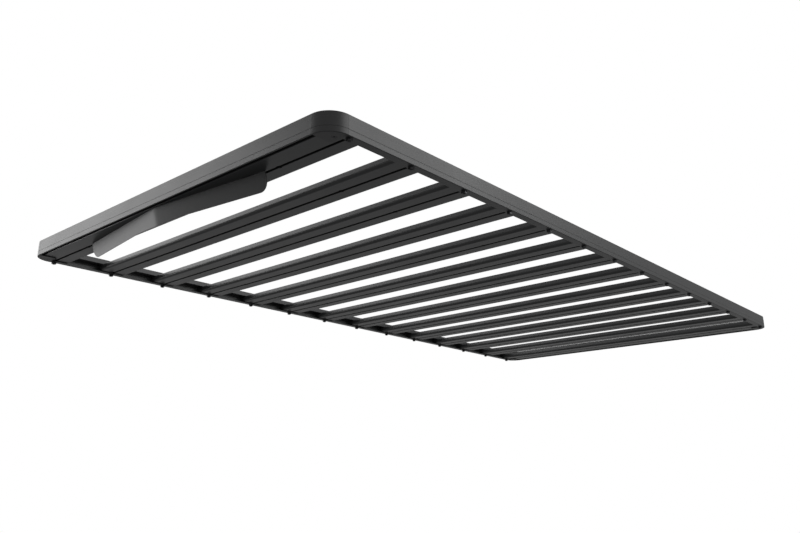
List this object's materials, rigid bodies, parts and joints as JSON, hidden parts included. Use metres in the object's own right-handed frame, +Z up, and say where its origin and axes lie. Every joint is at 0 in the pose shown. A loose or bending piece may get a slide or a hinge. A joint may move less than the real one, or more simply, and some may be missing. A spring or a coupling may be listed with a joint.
{
  "type": "roof cargo platform",
  "caption": "Low flat roof platform for cargo: a rounded perimeter frame with cross slats bolted into it and a swept wind deflector hung under its front slat.",
  "frame": {"origin": "at mid length and mid width of the platform, on the underside of the side rails", "axes": "+Z up and -Y towards the front of the vehicle, so +X is to the right in a view along +Y"},
  "size_m": [1.425, 2.772, 0.096],
  "materials": {
    "rail_coat": "satin black powder coat on extruded aluminium",
    "slat_coat": "satin black powder coat on extruded aluminium",
    "corner_coat": "satin black powder coat on cast aluminium",
    "deflector_coat": "fine satin black powder coat on folded aluminium sheet",
    "fastener_steel": "black coated steel"
  },
  "bodies": {
    "root": {"corner_front_left": "corner_coat", "corner_front_right": "corner_coat", "corner_rear_left": "corner_coat", "corner_rear_right": "corner_coat", "corner_screw_front_left": "fastener_steel", "corner_screw_front_right": "fastener_steel", "corner_screw_rear_left": "fastener_steel", "corner_screw_rear_right": "fastener_steel", "deflector_bolt_left": "fastener_steel", "deflector_bolt_middle": "fastener_steel", "deflector_bolt_right": "fastener_steel", "front_rail": "rail_coat", "rear_rail": "rail_coat", "side_rail_left": "rail_coat", "side_rail_right": "rail_coat", "slat_01": "slat_coat", "slat_02": "slat_coat", "slat_03": "slat_coat", "slat_04": "slat_coat", "slat_05": "slat_coat", "slat_06": "slat_coat", "slat_07": "slat_coat", "slat_08": "slat_coat", "slat_09": "slat_coat", "slat_10": "slat_coat", "slat_11": "slat_coat", "slat_12": "slat_coat", "slat_13": "slat_coat", "slat_14": "slat_coat", "slat_bolt_01_left": "fastener_steel", "slat_bolt_01_right": "fastener_steel", "slat_bolt_02_left": "fastener_steel", "slat_bolt_02_right": "fastener_steel", "slat_bolt_03_left": "fastener_steel", "slat_bolt_03_right": "fastener_steel", "slat_bolt_04_left": "fastener_steel", "slat_bolt_04_right": "fastener_steel", "slat_bolt_05_left": "fastener_steel", "slat_bolt_05_right": "fastener_steel", "slat_bolt_06_left": "fastener_steel", "slat_bolt_06_right": "fastener_steel", "slat_bolt_07_left": "fastener_steel", "slat_bolt_07_right": "fastener_steel", "slat_bolt_08_left": "fastener_steel", "slat_bolt_08_right": "fastener_steel", "slat_bolt_09_left": "fastener_steel", "slat_bolt_09_right": "fastener_steel", "slat_bolt_10_left": "fastener_steel", "slat_bolt_10_right": "fastener_steel", "slat_bolt_11_left": "fastener_steel", "slat_bolt_11_right": "fastener_steel", "slat_bolt_12_left": "fastener_steel", "slat_bolt_12_right": "fastener_steel", "slat_bolt_13_left": "fastener_steel", "slat_bolt_13_right": "fastener_steel", "slat_bolt_14_left": "fastener_steel", "slat_bolt_14_right": "fastener_steel", "wind_deflector": "deflector_coat"}
  },
  "joints": []
}
